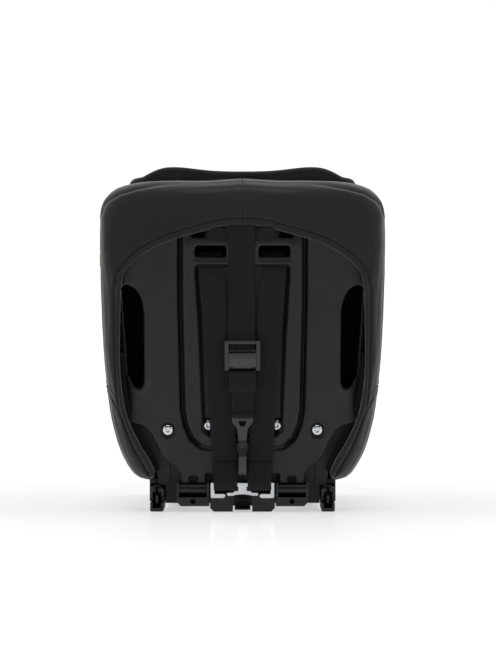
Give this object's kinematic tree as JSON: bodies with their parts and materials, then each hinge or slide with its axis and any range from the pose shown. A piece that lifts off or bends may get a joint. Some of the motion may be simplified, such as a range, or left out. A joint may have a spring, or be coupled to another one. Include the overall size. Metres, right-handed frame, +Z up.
{
  "type": "convertible car seat",
  "caption": "Child car seat with a reclining winged backrest, height-adjustable headrest, harness, stowed top tether and sliding lower anchor connectors.",
  "frame": {"origin": "centre of the bounding box on the floor plane the seat stands on", "axes": "+X to the seated child's left, +Y to the back of the seat, +Z up"},
  "size_m": [0.4673, 0.4768, 0.5639],
  "materials": {
    "shell_plastic": "moulded, fine texture",
    "base_plastic": "moulded, fine texture",
    "hardware_plastic": "satin",
    "button_grey": "satin",
    "button_red": "satin",
    "cover_fabric": "dense knit",
    "lining_fabric": "padded mesh",
    "pad_fabric": "padded mesh",
    "foam": "expanded polystyrene beads",
    "webbing": "woven webbing",
    "tag": "woven tag",
    "chrome_screw": "plated",
    "steel": "zinc plated",
    "yoke_metal": "stamped, satin",
    "hook_metal": "black coated",
    "rod_metal": "satin",
    "rubber": "matt"
  },
  "bodies": {
    "base": {"base_shell": "base_plastic", "belly_tray": "base_plastic", "tray_screws": "steel", "rear_foot_block": "base_plastic", "front_grip_pads": "rubber", "hinge_brackets": "base_plastic", "hinge_rods": "rod_metal", "seat_cushion": "lining_fabric", "armrest_covers": "cover_fabric", "crotch_strap": "webbing", "crotch_pad": "pad_fabric", "buckle_body": "hardware_plastic", "buckle_tongues": "steel", "lap_straps": "webbing", "hip_anchors": "steel", "adjuster_strap_rear": "webbing", "adjuster_strap": "webbing", "adjuster_housing": "hardware_plastic", "tail_keeper": "hardware_plastic"},
    "isofix": {"isofix_frame": "steel", "isofix_cases": "base_plastic", "isofix_pins": "steel"},
    "isofix_hook_left": {"isofix_hook_l": "steel"},
    "isofix_hook_right": {"isofix_hook_r": "steel"},
    "isofix_button_left": {"isofix_button_l": "button_grey"},
    "isofix_button_right": {"isofix_button_r": "button_grey"},
    "isofix_handle": {"isofix_handle": "button_grey"},
    "backrest": {"back_shell": "shell_plastic", "back_screws": "chrome_screw", "backrest_cover": "cover_fabric", "wing_foam": "foam", "back_foam": "foam", "wing_lining": "lining_fabric", "back_pad": "lining_fabric", "rear_straps": "webbing", "slot_bars": "steel", "front_straps": "webbing", "shoulder_pads": "pad_fabric", "side_tag": "tag", "cross_webbing": "webbing", "tether_strap": "webbing", "tether_adjuster": "hardware_plastic", "tether_bundle": "webbing", "tether_short_strap": "webbing", "tether_hook": "hook_metal", "tether_keeper": "shell_plastic", "headrest_rails": "hardware_plastic"},
    "yoke": {"yoke": "yoke_metal", "yoke_loops": "webbing"},
    "headrest": {"headrest_shell": "shell_plastic", "headrest_pad": "cover_fabric", "headrest_carrier": "hardware_plastic"},
    "headrest_lever": {"headrest_lever": "button_grey"},
    "tether_lever": {"tether_lever": "hardware_plastic"},
    "tether_hook_gate": {"tether_hook_gate": "hook_metal"},
    "buckle_button": {"buckle_button": "button_red"},
    "adjuster_button": {"adjuster_button": "button_grey"}
  },
  "joints": [
    {"name": "backrest_recline", "type": "hinge", "parent": "base", "child": "backrest", "pos_m": [0, 0.16, 0.0365], "axis": [1, 0, 0], "range_deg": [-14, 0], "deforming": ["front_straps", "adjuster_strap_rear"]},
    {"name": "yoke_slide", "type": "slide", "parent": "backrest", "child": "yoke", "axis": [0, 0.1392, 0.9903], "range_m": [0, 0.035], "deforming": ["rear_straps", "adjuster_strap_rear"]},
    {"name": "headrest_height", "type": "slide", "parent": "backrest", "child": "headrest", "axis": [0, 0.1392, 0.9903], "range_m": [0, 0.14]},
    {"name": "headrest_release", "type": "slide", "parent": "headrest", "child": "headrest_lever", "axis": [0, 0.1392, 0.9903], "range_m": [0, 0.005], "stiffness_N_per_m": 400},
    {"name": "tether_lever_tilt", "type": "hinge", "parent": "backrest", "child": "tether_lever", "pos_m": [0, 0.222, 0.25853], "axis": [1, 0, 0], "range_deg": [0, 40], "stiffness_Nm_per_rad": 0.4},
    {"name": "tether_gate", "type": "hinge", "parent": "backrest", "child": "tether_hook_gate", "pos_m": [0, 0.19505, 0.10196], "axis": [1, 0, 0], "range_deg": [0, 20], "stiffness_Nm_per_rad": 0.05},
    {"name": "isofix_extend", "type": "slide", "parent": "base", "child": "isofix", "axis": [0, 1, 0], "range_m": [0, 0.11]},
    {"name": "isofix_hook_left_open", "type": "hinge", "parent": "isofix", "child": "isofix_hook_left", "pos_m": [0.14, 0.144, 0.0286], "axis": [1, 0, 0], "range_deg": [0, 28]},
    {"name": "isofix_button_left_press", "type": "slide", "parent": "isofix", "child": "isofix_button_left", "axis": [0, -1, 0], "range_m": [0, 0.006], "stiffness_N_per_m": 300},
    {"name": "isofix_hook_right_open", "type": "hinge", "parent": "isofix", "child": "isofix_hook_right", "pos_m": [-0.14, 0.144, 0.0286], "axis": [1, 0, 0], "range_deg": [0, 28]},
    {"name": "isofix_button_right_press", "type": "slide", "parent": "isofix", "child": "isofix_button_right", "axis": [0, -1, 0], "range_m": [0, 0.006], "stiffness_N_per_m": 300},
    {"name": "isofix_handle_pull", "type": "slide", "parent": "base", "child": "isofix_handle", "axis": [0, -1, 0], "range_m": [0, 0.008], "stiffness_N_per_m": 600},
    {"name": "buckle_button_press", "type": "slide", "parent": "base", "child": "buckle_button", "axis": [0, 1, 0], "range_m": [0, 0.003], "stiffness_N_per_m": 2000},
    {"name": "adjuster_button_press", "type": "slide", "parent": "base", "child": "adjuster_button", "axis": [0, 1, 0], "range_m": [0, 0.002], "stiffness_N_per_m": 1500}
  ],
  "couplings": [
    {"joint": "isofix_hook_left_open", "follows": "isofix_button_left_press", "rad_per_m": 78.54},
    {"joint": "isofix_hook_right_open", "follows": "isofix_button_right_press", "rad_per_m": 78.54}
  ]
}
